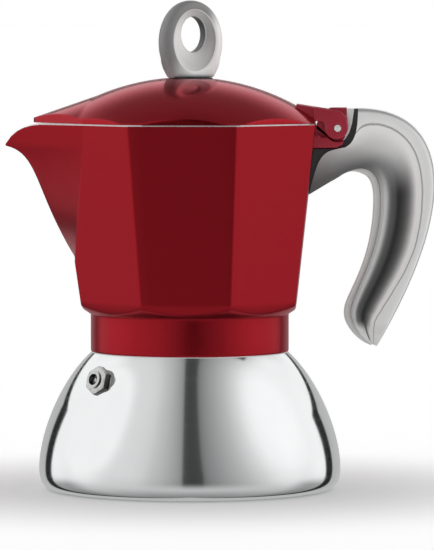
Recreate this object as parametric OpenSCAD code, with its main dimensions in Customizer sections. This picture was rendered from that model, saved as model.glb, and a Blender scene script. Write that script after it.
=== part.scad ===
// Stove-top moka pot. The origin is the centre of the flat base, +Z is up,
// the spout points to -X and the handle to +X.

/* [Boiler] */
// Largest diameter of the steel bell
bell_d = 111.8; // [108:0.1:114]
// Height of the bell's top lip
bell_h = 50.9; // [50:0.1:52]
// Thickness of the steel skin
skin_t = 0.9; // [0.6:0.1:1.2]
// Thickness of the aluminium tank
tank_t = 1.6; // [1.2:0.1:2]

/* [Screw joint] */
// Outer diameter of the collector's collar
collar_d = 73.4; // [72.8:0.1:74]
// Rise of the thread in one turn
thread_pitch = 3; // [2.5:0.1:3.5]
// Height of the thread's ridge
thread_depth = 0.9; // [0.6:0.1:1]

/* [Collector] */
// Distance from the axis to a facet at the bottom
facet_low = 39.6; // [39:0.1:40]
// Distance from the axis to a facet at the rim
facet_high = 47.8; // [47.4:0.1:48]
// Height of the rim
rim_z = 135.6; // [135:0.1:136]
// Thickness of the collector's wall
wall_t = 2.4; // [2:0.1:2.8]

/* [Lid] */
// Radius of the lid's dome
dome_r = 84; // [82:1:88]
// Height of the dome's crown
dome_top = 152.7; // [152:0.1:153]
// Height of the knob's top
knob_top = 181; // [178:0.5:182]

/* [Handle] */
// Width of the handle, side to side
handle_w = 17; // [16:0.5:18]
// Width of the cover strip inside the grip
cover_w = 12; // [10:0.5:13]

/* [Hinge] */
// Diameter of the hinge pin
pin_d = 2.5; // [2:0.1:2.8]
// Gap round the pin in the lid's cheeks
pin_gap = 0.06; // [0.03:0.01:0.1]

/* [Safety valve] */
// Width of the hexagon across its flats
hex_af = 9.4; // [9:0.1:10]
// Turn of the valve from the front towards the spout, in degrees
valve_turn = 43.5; // [35:0.5:50]
// Tilt of the valve above level, in degrees
valve_tilt = 15; // [10:1:18]

/* [Hidden] */
$fn = 96;

steel = [0.82, 0.83, 0.84];
alloy = [0.66, 0.67, 0.68];
red = [0.6, 0.1, 0.15];
silver = [0.74, 0.74, 0.74];
dark = [0.22, 0.23, 0.23];
rubber = [0.93, 0.93, 0.9];

// Boiler heights and radii
bell_r = bell_d / 2;
belly_z = 8;
foot_r = 50;
base_t = 2.4;
core_z = base_t + 0.1;
core_t = 1.8;
core_r = foot_r - 0.2;
skin_z = 0.2;
lip_r = 33.4;
neck_r = 32;
neck_bore = 28.6;
neck_top = 61.4;
nest_gap = 0.2;

// Screw joint
crest_gap = 0.25;
collar_r = collar_d / 2;
collar_bottom = bell_h + 0.3;
collar_bore = neck_r + thread_depth + crest_gap;
thread_low = bell_h + 1.4;
male_turns = 2.7;
female_turns = 2.5;

// Filter stack
flange_t = 0.6;
funnel_r = 28.2;
basket_floor = 46.2;
stem_r = 4.6;
stem_end = 6.3;
sheet_t = 0.5;
gasket_z = neck_top + flange_t;
gasket_t = 2.8;
gasket_r = 32;
plate_z = gasket_z + gasket_t;
plate_t = 0.7;
seat_z = plate_z + plate_t;

// Collector
shift_top = -1.1;
facet_z = 70;
floor_z = 74;
bevel_z = 65;
column_top = 118;
prow_low = 85;
rim_gap = 0.3;
lid_z = rim_z + rim_gap;

// Hinge
pin_x = 54.8;
pin_z = 134;
lug_r = 7.9;
lug_w = 12;
cheek_in = 6.3;
cheek_out = 9.3;

// Knob
knob_x = 0.3;
knob_turn = 38;
knob_seat = 151.9;
knob_z = 152.5;
knob_screw_r = 2;

// Valve, measured out along its own axis from the bell's surface
valve_r = 44.3;
valve_z = 41.8;
boss_end = 0.6;
boss_start = -7;
boss_r = 4.8;
washer_t = 0.4;
hex_t = 2.8;
hex_start = boss_end + washer_t;
hex_end = hex_start + hex_t;
nose_end = 5.3;
valve_bore = 2.15;
seal_z = -6.2;
seal_t = 0.8;
flange_top = -4.8;
spring_end = 2.5;

// Points of a cubic curve through four control points
function curve(p, n = 10) = [
    for (i = [0:n])
        let (t = i / n)
        pow(1 - t, 3) * p[0] + 3 * pow(1 - t, 2) * t * p[1] + 3 * (1 - t) * t * t * p[2] + pow(t, 3) * p[3]
];

// Points of an arc round a centre
function arc(c, r, from, to, n = 8) = [
    for (i = [0:n])
        let (a = from + (to - from) * i / n)
        c + r * [cos(a), sin(a)]
];

function reversed(p) = [for (i = [len(p) - 1:-1:0]) p[i]];

// A polygon in the XZ plane, given a thickness along Y
module slab(points, width) {
    rotate([90, 0, 0])
        linear_extrude(height = width, center = true)
            polygon(points);
}

// Side of the bell, moved inwards by d
function bell_side(d) = curve([
    [bell_r - d, belly_z],
    [bell_r - d, 21.3],
    [47.5 - 0.8 * d, 41 - 0.6 * d],
    [36.5 - 0.6 * d, bell_h - 0.8 * d]
], 16);

// Rounded foot of the bell, with its flat at height z
function bell_foot(d, z) = curve([
    [foot_r, z],
    [foot_r + 4.5 - d, z],
    [bell_r - d, z + 0.4 * (belly_z - z)],
    [bell_r - d, belly_z]
], 8);

// One rounded ridge of thread that climbs round the Z axis. It faces out when side is 1 and in
// when side is -1, and fades out at both ends.
module thread_ridge(r, side, start, turns) {
    steps = round(turns * 48);
    root = 0.4;
    half_root = 0.75;
    half_crest = 0.35;
    function fade(i) = min(1, i / 5, (steps - i) / 5);
    function section(i) =
        let (
            h = thread_depth * max(0.02, fade(i)),
            z = start + turns * thread_pitch * i / steps,
            a = 360 * turns * i / steps
        )
        [
            for (q = [[-root, -half_root], [h, -half_crest], [h, half_crest], [-root, half_root]])
                [(r + side * q[0]) * cos(a), (r + side * q[0]) * sin(a), z + q[1]]
        ];
    points = [for (i = [0:steps]) each section(i)];
    walls = [
        for (i = [0:steps - 1], k = [0:3])
            let (a = 4 * i + k, b = 4 * i + (k + 1) % 4)
            each [[a, b, b + 4], [a, b + 4, a + 4]]
    ];
    ends = [[3, 2, 1], [3, 1, 0], 4 * steps * [1, 1, 1] + [0, 1, 2], 4 * steps * [1, 1, 1] + [0, 2, 3]];
    faces = concat(walls, ends);
    polyhedron(points, side > 0 ? faces : [for (f = faces) reversed(f)]);
}

// Holes on a hexagonal grid inside radius r
module hole_field(r, step, hole_r, z, t) {
    rows = ceil(r / step);
    for (i = [-rows:rows], j = [-rows:rows]) {
        x = step * (i + j / 2);
        y = step * j * sin(60);
        if (norm([x, y]) < r)
            translate([x, y, z - 1])
                cylinder(r = hole_r, h = t + 2, $fn = 24);
    }
}

// ---- Boiler ----

// The valve's own frame: +Z points out along its axis
module at_valve() {
    a = 270 - valve_turn;
    translate([valve_r * cos(a), valve_r * sin(a), valve_z])
        rotate([0, 90 - valve_tilt, a])
            children();
}

module boiler_base() {
    edge = foot_r - 0.2;
    color(steel)
        rotate_extrude()
            polygon([[0, 0], [edge - 0.6, 0], [edge, 0.6], [edge, base_t], [0, base_t]]);
}

module boiler_shell() {
    color(steel)
        difference() {
            rotate_extrude()
                polygon(concat(
                    bell_foot(0, skin_z),
                    bell_side(0),
                    [[lip_r, bell_h], [lip_r, bell_h - 1]],
                    reversed(bell_side(skin_t)),
                    reversed(bell_foot(skin_t, base_t))
                ));
            at_valve()
                translate([0, 0, boss_start])
                    cylinder(r = boss_r + 0.2, h = 20);
        }
}

// Disc that spreads the heat and closes the tank
module boiler_core() {
    color(alloy)
        translate([0, 0, core_z])
            cylinder(r = core_r, h = core_t);
}

module boiler_tank() {
    outside = skin_t + nest_gap;
    inside = outside + tank_t;
    color(alloy)
        difference() {
            union() {
                rotate_extrude()
                    polygon(concat(
                        [[core_r + 0.1, core_z]],
                        bell_foot(outside, core_z),
                        bell_side(outside),
                        [[lip_r, bell_h - 1.2], [lip_r, bell_h - 2.4]],
                        reversed(bell_side(inside)),
                        reversed(bell_foot(inside, core_z + core_t)),
                        [[core_r + 0.1, core_z + core_t]]
                    ));
                at_valve()
                    translate([0, 0, boss_start])
                        cylinder(r = boss_r, h = boss_end - boss_start);
            }
            at_valve()
                translate([0, 0, boss_start - 1])
                    cylinder(r = 3, h = 10);
        }
}

// Threaded ring that stands in the tank's mouth
module boiler_neck() {
    color(alloy)
        union() {
            rotate_extrude()
                polygon([
                    [neck_bore, neck_top], [neck_bore, bell_h - 3.2], [lip_r - 0.1, bell_h - 2.4],
                    [lip_r - 0.1, bell_h - 1.2], [neck_r, bell_h - 1.2], [neck_r, neck_top]
                ]);
            thread_ridge(neck_r, 1, thread_low, male_turns);
        }
}

module valve_body() {
    color(steel)
        at_valve()
            difference() {
                union() {
                    translate([0, 0, hex_start])
                        intersection() {
                            cylinder(r = hex_af / 2 / cos(30), h = hex_t, $fn = 6);
                            translate([0, 0, hex_t - 8])
                                sphere(r = 9.3);
                        }
                    translate([0, 0, -10])
                        cylinder(r = 2.95, h = hex_end + 10.4);
                    translate([0, 0, hex_end + 0.4])
                        cylinder(r = 3.3, h = nose_end - hex_end - 0.4);
                }
                translate([0, 0, seal_z])
                    cylinder(r = valve_bore, h = 20);
                translate([0, 0, -11])
                    cylinder(r = 1.2, h = 6);
            }
}

module valve_washer() {
    color(steel)
        at_valve()
            translate([0, 0, boss_end])
                difference() {
                    cylinder(r = boss_r, h = washer_t);
                    translate([0, 0, -1])
                        cylinder(r = 3, h = 3);
                }
}

module valve_nut() {
    color(steel)
        at_valve()
            translate([0, 0, boss_start - 2.4])
                difference() {
                    cylinder(r = 5.2, h = 2.4, $fn = 6);
                    translate([0, 0, -1])
                        cylinder(r = 3, h = 5);
                }
}

module valve_retainer() {
    color(steel)
        at_valve()
            translate([0, 0, spring_end])
                difference() {
                    cylinder(r = valve_bore - 0.01, h = 0.7);
                    translate([0, 0, -1])
                        cylinder(r = 0.95, h = 3);
                }
}

// Coil spring between the piston's flange and the retainer
module valve_spring() {
    wire = 0.28;
    coil = 1.45;
    turns = 6;
    sides = 6;
    steps = 14 * turns;
    low = flange_top + wire;
    rise = spring_end - flange_top - 2 * wire;
    points = [
        for (i = [0:steps], k = [0:sides - 1])
            let (a = 360 * turns * i / steps, b = 360 * k / sides, r = coil + wire * cos(b))
            [r * cos(a), r * sin(a), low + rise * i / steps + wire * sin(b)]
    ];
    walls = [
        for (i = [0:steps - 1], k = [0:sides - 1])
            let (a = sides * i + k, b = sides * i + (k + 1) % sides)
            each [[a, b + sides, b], [a, a + sides, b + sides]]
    ];
    ends = [
        [for (k = [0:sides - 1]) k],
        [for (k = [sides - 1:-1:0]) sides * steps + k]
    ];
    color(steel)
        at_valve()
            polyhedron(points, concat(walls, ends));
}

module valve_piston() {
    color(steel)
        at_valve()
            union() {
                translate([0, 0, seal_z + seal_t])
                    cylinder(r = 2, h = flange_top - seal_z - seal_t);
                translate([0, 0, flange_top])
                    cylinder(r = 0.75, h = 4 - flange_top);
            }
}

module valve_seal() {
    color(rubber)
        at_valve()
            translate([0, 0, seal_z])
                cylinder(r = 2, h = seal_t);
}

// ---- Filter stack ----

module funnel() {
    cone_end = 37.4;
    color(alloy)
        rotate_extrude()
            polygon([
                [31.2, neck_top], [31.2, gasket_z], [funnel_r - sheet_t, gasket_z],
                [funnel_r - sheet_t, basket_floor], [26.8, basket_floor], [26.8, basket_floor - 0.6],
                [stem_r - sheet_t, cone_end + 0.3], [stem_r - sheet_t, stem_end], [stem_r, stem_end],
                [stem_r, cone_end], [funnel_r, basket_floor - 1], [funnel_r, neck_top]
            ]);
}

module funnel_sieve() {
    color(alloy)
        difference() {
            translate([0, 0, basket_floor])
                cylinder(r = funnel_r - sheet_t - 0.1, h = sheet_t);
            hole_field(24, 5.4, 0.7, basket_floor, sheet_t);
        }
}

module gasket() {
    color(rubber)
        translate([0, 0, gasket_z])
            difference() {
                cylinder(r = gasket_r, h = gasket_t);
                translate([0, 0, -1])
                    cylinder(r = 26.5, h = gasket_t + 2);
            }
}

module filter_plate() {
    color(alloy)
        difference() {
            translate([0, 0, plate_z])
                cylinder(r = 31, h = plate_t);
            hole_field(24, 5.2, 0.6, plate_z, plate_t);
        }
}

// ---- Collector ----

// How far the octagon's centre has moved towards the spout at height z
function shift(z) = shift_top * (z - facet_z) / (rim_z - facet_z);

// Distance from that centre to a facet at height z
function facet(z) = facet_low + (facet_high - facet_low) * (z - facet_z) / (rim_z - facet_z);

// Flared octagon between two heights, moved in by d
module flared_octagon(d, low, high) {
    intersection_for (a = [0, 45, 90, 135])
        rotate([0, 0, a])
            slab([
                for (q = [[-1, low], [1, low], [1, high], [-1, high]])
                    [q[0] * (facet(q[1]) - d) + shift(q[1]) * cos(a), q[1]]
            ], 140);
}

// Straight octagon of the rim's size, moved in by d
module rim_octagon(d, low, high) {
    r = (facet_high - d) / cos(22.5);
    translate([shift_top, 0, low])
        rotate([0, 0, 22.5])
            cylinder(r = r, h = high - low, $fn = 8);
}

// Prow line of the spout, from inside the octagon up to the pouring tip and on past it
prow = concat(
    [[-40.5, prow_low - 1]],
    curve([[-41.9, prow_low], [-57.9, 109.2], [-55.8, 124.5], [-68.6, 127.2]], 12),
    [[-73, 137.5]]
);

// Half width of the spout where its side leaves the diagonal facet
function spout_half(z) = tan(22.5) * facet(prow_low) + 0.284 * (z - prow_low);

// How far along X that edge is, moved in by d
function spout_edge(z, d) = shift(z) - sqrt(2) * facet(z) + spout_half(z) + 0.214 * d;

// One level of the spout, moved in by d, with its sides just proud of the diagonal facets
function spout_level(p, d) =
    let (
        proud = 0.04,
        tuck = 2 * max(0, prow_low - p[1]),
        y = spout_half(p[1]) - 1.2 * d + proud - tuck,
        x = spout_edge(p[1], d) - proud + tuck,
        nose = min(p[0] + 1.4 * d, x - 0.1)
    )
    [[-30, -y, p[1]], [x, -y, p[1]], [nose, 0, p[1]], [x, y, p[1]], [-30, y, p[1]]];

// The octagon's corners in front of the spout's sides, moved in by d
module spout_cut(d) {
    low = prow_low + 0.2;
    high = rim_z + 6;
    slab([[spout_edge(low, d), low], [spout_edge(high, d), high], [-90, high], [-90, low]], 120);
}

module spout_block(d) {
    n = len(prow);
    points = [for (p = prow) each reversed(spout_level(p, d))];
    walls = [
        for (i = [0:n - 2], k = [0:4])
            let (a = 5 * i + k, b = 5 * i + (k + 1) % 5)
            each [[a, b + 5, b], [a, a + 5, b + 5]]
    ];
    ends = [[0, 1, 2, 3, 4], [for (k = [4:-1:0]) 5 * (n - 1) + k]];
    polyhedron(points, concat(walls, ends));
}

// Everything above the rim short of the lug. The rim dips to the pouring tip.
module above_rim() {
    slab(concat(
        [[-80, 150], [-80, 121], [-71.5, 121.5]],
        reversed(curve([[-53, rim_z], [-62, rim_z], [-66.3, 131.8], [-68.7, 127.3]])),
        [[46.9, rim_z], [46.9, 150]]
    ), 120);
}

module column() {
    difference() {
        union() {
            translate([0, 0, floor_z - 2])
                cylinder(r1 = 9.5, r2 = 6.2, h = column_top - floor_z + 2);
            translate([0, 0, column_top])
                cylinder(r1 = 6.2, r2 = 2.5, h = 2.4);
        }
        translate([0, 0, 115])
            rotate([90, 0, 0])
                cylinder(r = 2.1, h = 20, center = true);
    }
}

// Bracket for the hinge and the handle, with the lug between the lid's cheeks
module bracket() {
    slab([[40, 117.6], [49.5, 118], [57, 122.2], [59.2, 124], [59.2, 127.2], [40, 127.2]], 8);
    difference() {
        slab([[40, 126.8], [54.6, 126.9], [56.6, 128], [57.4, 131.5], [40, 131.5]], 2 * cheek_out + 0.4);
        translate([pin_x, 0, pin_z])
            rotate([90, 0, 0])
                cylinder(r = 5.1, h = 30, center = true);
        slab([[48.4, 130.6], [60, 130.6], [60, 133], [48.4, 133]], 30);
    }
    intersection() {
        slab([[40, 127], [58, 127], [58.1, 141.5], [40, 141.5]], lug_w);
        union() {
            translate([pin_x, 0, pin_z])
                rotate([90, 0, 0])
                    cylinder(r = lug_r, h = 30, center = true);
            slab([[38, 126], [60, 126], [60, 131.3], [49, 131.3], [49, 135], [38, 135]], 30);
        }
    }
}

module collector() {
    color(red)
        difference() {
            union() {
                difference() {
                    union() {
                        difference() {
                            intersection() {
                                flared_octagon(0, 60, rim_z + 1);
                                rotate_extrude()
                                    polygon([
                                        [0, bevel_z], [collar_r - 0.2, bevel_z],
                                        [collar_r + 23.3, bevel_z + 15], [collar_r + 23.3, 150], [0, 150]
                                    ]);
                            }
                            spout_cut(0);
                        }
                        spout_block(0);
                        bracket();
                        translate([0, 0, collar_bottom])
                            cylinder(r = collar_r, h = floor_z - collar_bottom);
                    }
                    difference() {
                        flared_octagon(wall_t, floor_z, rim_z + 5);
                        spout_cut(wall_t);
                    }
                    intersection() {
                        spout_block(wall_t);
                        translate([-100, -50, 90])
                            cube([100, 100, 60]);
                    }
                    translate([0, 0, collar_bottom - 1])
                        cylinder(r = collar_bore, h = gasket_z - collar_bottom + 1);
                    translate([0, 0, gasket_z - 1])
                        cylinder(r = gasket_r + 0.3, h = seat_z - gasket_z + 1);
                    translate([0, 0, seat_z - 1])
                        cylinder(r1 = 26, r2 = 18, h = 5.5);
                    above_rim();
                }
                thread_ridge(collar_bore, -1, thread_low + thread_pitch / 2, female_turns);
                column();
                translate([0, 0, seat_z + 3])
                    cylinder(r = 7.5, h = 8);
            }
            translate([0, 0, seat_z - 1])
                cylinder(r = 3.8, h = 51);
            translate([pin_x, 0, pin_z])
                rotate([90, 0, 0])
                    cylinder(r = pin_d / 2, h = 30, center = true);
            translate([56, 0, 100])
                cylinder(r = 1.6, h = 25.5);
        }
}

module hinge_pin() {
    color(steel)
        translate([pin_x, 0, pin_z])
            rotate([90, 0, 0])
                cylinder(r = pin_d / 2, h = 2 * cheek_out + 0.2, center = true);
}

// ---- Handle ----

// Outer curve of the handle from the mouth over the top to the toe
handle_back = concat(
    curve([[61.9, 141.2], [80.9, 141.2], [90.6, 130.9], [90.6, 113]], 12),
    curve([[90.6, 113], [90.6, 93.8], [79.4, 70.7], [69.4, 53.4]], 12)
);

// Seam between the shell and the cover strip, from the root to the toe
handle_seam = concat(
    curve([[54.9, 115.9], [63.5, 121.5], [70.6, 120.5], [70.6, 107.2]], 8),
    curve([[70.6, 107.2], [70.6, 86.8], [59.5, 72], [59.6, 66]], 8),
    curve([[59.6, 66], [59.7, 61.5], [63.5, 56.9], [66.6, 54.6]], 4)
);

// Inner curve of the grip, from the root to the toe
handle_inner = concat(
    curve([[54.9, 114.7], [62.5, 119.4], [67.9, 118.5], [67.9, 108]], 8),
    curve([[67.9, 108], [67.9, 82.8], [56.8, 72], [57.1, 65.9]], 8),
    curve([[57.1, 65.9], [57.1, 60.9], [62.6, 55.1], [67.6, 53.3]], 6)
);

// Mouth of the handle beside the bracket, from its top down to the root
handle_mouth = concat(
    curve([[62.3, 141.2], [62.3, 131], [60.5, 126.6], [54.5, 126.2]], 8),
    curve([[54.5, 126.2], [47.5, 125.5], [47, 119.5], [44.4, 109.6]], 8)
);

module handle_body_slab(width) {
    slab(concat(
        [for (p = handle_back) if (p[0] > 62.3) p],
        reversed(handle_seam),
        [[54.9, 115.2]],
        reversed(handle_mouth)
    ), width);
}

// Room inside the mouth for the liner
module mouth_room(gap, width) {
    slab([
        [40, 108.6 - gap], [46, 111.9 - gap], [50, 114.9 - gap], [57, 121.4 - gap], [62 + gap, 125.5 - gap],
        [66 + gap, 130], [66 + gap, 138 + gap], [40, 138 + gap]
    ], width);
}

// Long hollow down each side of the grip
module scoop() {
    slab(concat(
        curve([[66, 133], [79, 132.5], [83, 124], [83, 110]], 8),
        curve([[83, 110], [83, 88], [74.5, 76.6], [65.5, 61.5]], 8),
        curve([[62.4, 67], [62.5, 74], [73.4, 87], [73.2, 108]], 8),
        [[72, 119], [66, 124]]
    ), 2.6);
}

// Web behind the lug, between the two halves of the liner
module handle_web(gap) {
    slab([
        [58.5 - gap, 129.4 - gap], [61.5, 129.4 - gap], [67, 134], [67, 140.8], [58.5 - gap, 141.1 + gap]
    ], 10 + 2 * gap);
}

module handle_shell() {
    color(silver)
        difference() {
            union() {
                difference() {
                    handle_body_slab(handle_w);
                    mouth_room(0.1, handle_w - 3);
                }
                handle_web(0);
            }
            for (side = [-1, 1])
                translate([0, side * handle_w / 2, 0])
                    scoop();
            translate([56, 0, 100])
                cylinder(r = 1.9, h = 25);
            translate([56, 0, 100])
                cylinder(r = 3.4, h = 17.6);
        }
}

module handle_liner() {
    color(dark)
        difference() {
            intersection() {
                mouth_room(0, handle_w - 3.2);
                slab(concat(
                    [[46.05, 126.3], [54.3, 126.4], [57.8, 127.8], [59.9, 131], [61, 141]],
                    [[70, 141], [70, 109], [44.15, 109]]
                ), 30);
            }
            slab([[40, 117.4], [59.4, 117.4], [59.4, 127.4], [40, 127.4]], 8.3);
            slab([[40, 127], [58.4, 127], [58.4, 145], [40, 145]], lug_w + 0.4);
            handle_web(0.1);
            translate([pin_x, 0, pin_z])
                difference() {
                    rotate([90, 0, 0])
                        cylinder(r = 11.2, h = 30, center = true);
                    translate([-20, -6, -20])
                        cube([40, 12, 40]);
                    translate([-20, -20, -25])
                        cube([40, 40, 18.2]);
                }
            translate([56, 0, 100])
                cylinder(r = 1.9, h = 30);
        }
}

module handle_cover() {
    color(silver)
        difference() {
            slab(concat(
                handle_seam,
                [[67.4, 54]],
                reversed(handle_inner)
            ), cover_w);
            translate([56, 0, 100])
                cylinder(r = 3.5, h = 30);
        }
}

module handle_screw() {
    color(steel)
        translate([56, 0, 0])
            difference() {
                union() {
                    translate([0, 0, 115.9])
                        cylinder(r = 3, h = 1.7);
                    translate([0, 0, 117])
                        cylinder(r = 1.6, h = 8.3);
                }
                translate([0, 0, 115.4])
                    cube([1, 5, 1.6], center = true);
                translate([0, 0, 115.4])
                    cube([5, 1, 1.6], center = true);
            }
}

// ---- Lid ----

beak_fall = 19.1;
beak_root = [-20, 150.8];

// Round-backed ridge that runs from the dome down to the beak, lowered by d
module beak_roof(d) {
    back_r = 70;
    translate([beak_root[0], 0, beak_root[1] - d])
        rotate([0, -90 - beak_fall, 0])
            translate([-back_r, 0, 0])
                cylinder(r = back_r, h = 60);
}

// Plan of the beak, moved in by d
module beak_plan(d, low) {
    tip_r = 3;
    root_y = 30.6 - 1.5 * d;
    tip = [-55.4 + 1.2 * d, 0];
    translate([0, 0, low])
        linear_extrude(height = 30)
            polygon(concat(
                [[-20, -root_y], [-37.6, -root_y]],
                reversed(arc(tip, tip_r - min(d, 1.5), 124, 236, 10)),
                [[-37.6, root_y], [-20, root_y]]
            ));
}

// Arm and knuckle beside the lug, seen from the side
cheek_outline = concat(
    [[38, 142.9], [40.7, 142.5], [47.5, 141.5], [53.6, 140.6]],
    arc([53.8, 136.1], 4.5, 84, 10, 6),
    arc([54.3, 134.1], 4.2, 0, -170, 10),
    curve([[50.1, 134.4], [50.1, 135.6], [49.6, 136.6], [48.2, 136.6]], 4),
    [[40, 136.6]]
);

module lid() {
    color(red)
        difference() {
            union() {
                difference() {
                    union() {
                        intersection() {
                            rim_octagon(0.1, lid_z, 160);
                            translate([shift_top, 0, dome_top - dome_r])
                                sphere(r = dome_r, $fn = 180);
                        }
                        intersection() {
                            beak_plan(0, lid_z);
                            beak_roof(0);
                        }
                    }
                    intersection() {
                        rim_octagon(2.4, lid_z - 1, 160);
                        translate([shift_top, 0, dome_top - dome_r])
                            sphere(r = dome_r - 2, $fn = 180);
                    }
                    intersection() {
                        beak_plan(1.6, lid_z - 1);
                        beak_roof(2.2);
                    }
                }
                translate([knob_x, 0, 147.6])
                    cylinder(r = 6, h = 3.6);
                for (side = [-1, 1])
                    translate([0, side * (cheek_in + cheek_out) / 2, 0])
                        slab(cheek_outline, cheek_out - cheek_in);
                slab([[38, 142.9], [40.7, 142.5], [46.6, 141.6], [46.6, 139.6], [42, 138.4], [40, 138.4]],
                    2 * cheek_out);
            }
            translate([knob_x, 0, knob_seat])
                cylinder(r = 9.2, h = 20);
            translate([knob_x, 0, 140])
                cylinder(r = knob_screw_r + 0.15, h = 20);
            translate([pin_x, 0, pin_z])
                rotate([90, 0, 0])
                    cylinder(r = pin_d / 2 + pin_gap, h = 30, center = true);
        }
}

// Half outline of the egg-shaped ring, from the base to the top
knob_side = concat(
    curve([[9, knob_z], [12.2, 157], [13.8, 161], [13.8, 165.4]], 6),
    curve([[13.8, 165.4], [13.8, 174], [8, knob_top], [0, knob_top]], 8)
);

module lid_knob() {
    thick = 6.4;
    color(silver)
        translate([knob_x, 0, 0])
            rotate([0, 0, knob_turn])
                difference() {
                    slab(concat(knob_side, reversed([for (p = knob_side) [-p[0], p[1]]])), thick);
                    translate([0, 0, 168.6])
                        rotate([90, 0, 0])
                            cylinder(r = 6, h = 30, center = true);
                    for (side = [-1, 1])
                        translate([0, side * thick / 2, 167.6])
                            rotate([90 * side, 0, 0])
                                cylinder(r1 = 9.6, r2 = 6, h = 1);
                    translate([0, 0, 150])
                        cylinder(r = knob_screw_r + 0.05, h = 9);
                }
}

module knob_washer() {
    color(dark)
        translate([knob_x, 0, knob_seat])
            difference() {
                cylinder(r = 8.2, h = knob_z - knob_seat);
                translate([0, 0, -1])
                    cylinder(r = knob_screw_r + 0.15, h = 5);
            }
}

module knob_screw() {
    color(steel)
        translate([knob_x, 0, 0])
            difference() {
                union() {
                    translate([0, 0, 145.4])
                        cylinder(r = 3.8, h = 2.2);
                    translate([0, 0, 147])
                        cylinder(r = knob_screw_r, h = 11);
                }
                translate([0, 0, 145.4])
                    cube([1, 5.5, 2], center = true);
                translate([0, 0, 145.4])
                    cube([5.5, 1, 2], center = true);
            }
}

boiler_base();
boiler_shell();
boiler_core();
boiler_tank();
boiler_neck();
valve_body();
valve_washer();
valve_nut();
valve_retainer();
valve_spring();
valve_piston();
valve_seal();
funnel();
funnel_sieve();
gasket();
filter_plate();
collector();
hinge_pin();
handle_shell();
handle_liner();
handle_cover();
handle_screw();
lid();
lid_knob();
knob_washer();
knob_screw();
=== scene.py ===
import math

import bmesh
import bpy
from mathutils import Matrix, Vector


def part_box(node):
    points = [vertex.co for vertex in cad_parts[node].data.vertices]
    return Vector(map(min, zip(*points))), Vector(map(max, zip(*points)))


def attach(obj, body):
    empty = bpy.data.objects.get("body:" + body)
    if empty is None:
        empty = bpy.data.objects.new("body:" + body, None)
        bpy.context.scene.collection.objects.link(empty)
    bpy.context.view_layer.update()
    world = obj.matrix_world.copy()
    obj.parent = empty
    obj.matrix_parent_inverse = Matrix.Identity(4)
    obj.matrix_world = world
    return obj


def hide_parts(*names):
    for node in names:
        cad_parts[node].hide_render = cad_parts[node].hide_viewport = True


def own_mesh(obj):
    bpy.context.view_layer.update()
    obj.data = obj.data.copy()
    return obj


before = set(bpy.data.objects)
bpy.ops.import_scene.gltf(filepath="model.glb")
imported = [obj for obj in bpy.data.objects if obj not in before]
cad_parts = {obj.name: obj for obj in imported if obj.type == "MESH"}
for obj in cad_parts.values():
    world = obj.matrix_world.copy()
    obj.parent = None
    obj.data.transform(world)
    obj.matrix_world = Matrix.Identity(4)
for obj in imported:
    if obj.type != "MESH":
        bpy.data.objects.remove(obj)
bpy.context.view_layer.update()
MM = 0.001


# ---- Curves, in millimetres in the row frame ----

def cubic(points, n):
    """A Bezier curve through its first and last point, as n straight steps."""
    out = []
    for i in range(n + 1):
        t = i / n
        w = ((1 - t) ** 3, 3 * (1 - t) ** 2 * t, 3 * (1 - t) * t * t, t ** 3)
        out.append(tuple(sum(w[k] * points[k][axis] for k in range(4)) for axis in range(2)))
    return out


def arc(cx, cz, r, first, last, n):
    """Points on a circle, from one angle in degrees to another."""
    angles = [math.radians(first + (last - first) * i / n) for i in range(n + 1)]
    return [(cx + r * math.cos(a), cz + r * math.sin(a)) for a in angles]


def joined(*curves):
    """The curves as one list, with the points where they meet only once."""
    out = []
    for curve in curves:
        for p in curve:
            if not out or math.dist(out[-1], p) > 1e-4:
                out.append(p)
    return out


def lerp(a, b, t):
    return tuple(x + (y - x) * t for x, y in zip(a, b))


def smooth(a, b, x):
    """0 before a, 1 after b, and an easy curve between them."""
    t = min(1.0, max(0.0, (x - a) / (b - a)))
    return t * t * (3 - 2 * t)


def graph(stops, t):
    """The value at t of a line through these stops."""
    for (a, u), (b, v) in zip(stops, stops[1:]):
        if t <= b:
            return u + (v - u) * max(0.0, t - a) / (b - a)
    return stops[-1][1]


def along(points, fractions):
    """Points at these fractions of a polyline's length."""
    total = [0.0]
    for a, b in zip(points, points[1:]):
        total.append(total[-1] + math.dist(a, b))
    out, k = [], 0
    for f in fractions:
        d = f * total[-1]
        while k < len(points) - 2 and total[k + 1] < d:
            k += 1
        span = total[k + 1] - total[k]
        out.append(lerp(points[k], points[k + 1], (d - total[k]) / span if span else 0))
    return out


def solve(f, low, high, steps=40):
    """Where f, which rises from negative to positive, is zero."""
    for _ in range(steps):
        mid = (low + high) / 2
        if f(mid) < 0:
            low = mid
        else:
            high = mid
    return (low + high) / 2


# ---- Meshes ----

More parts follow.
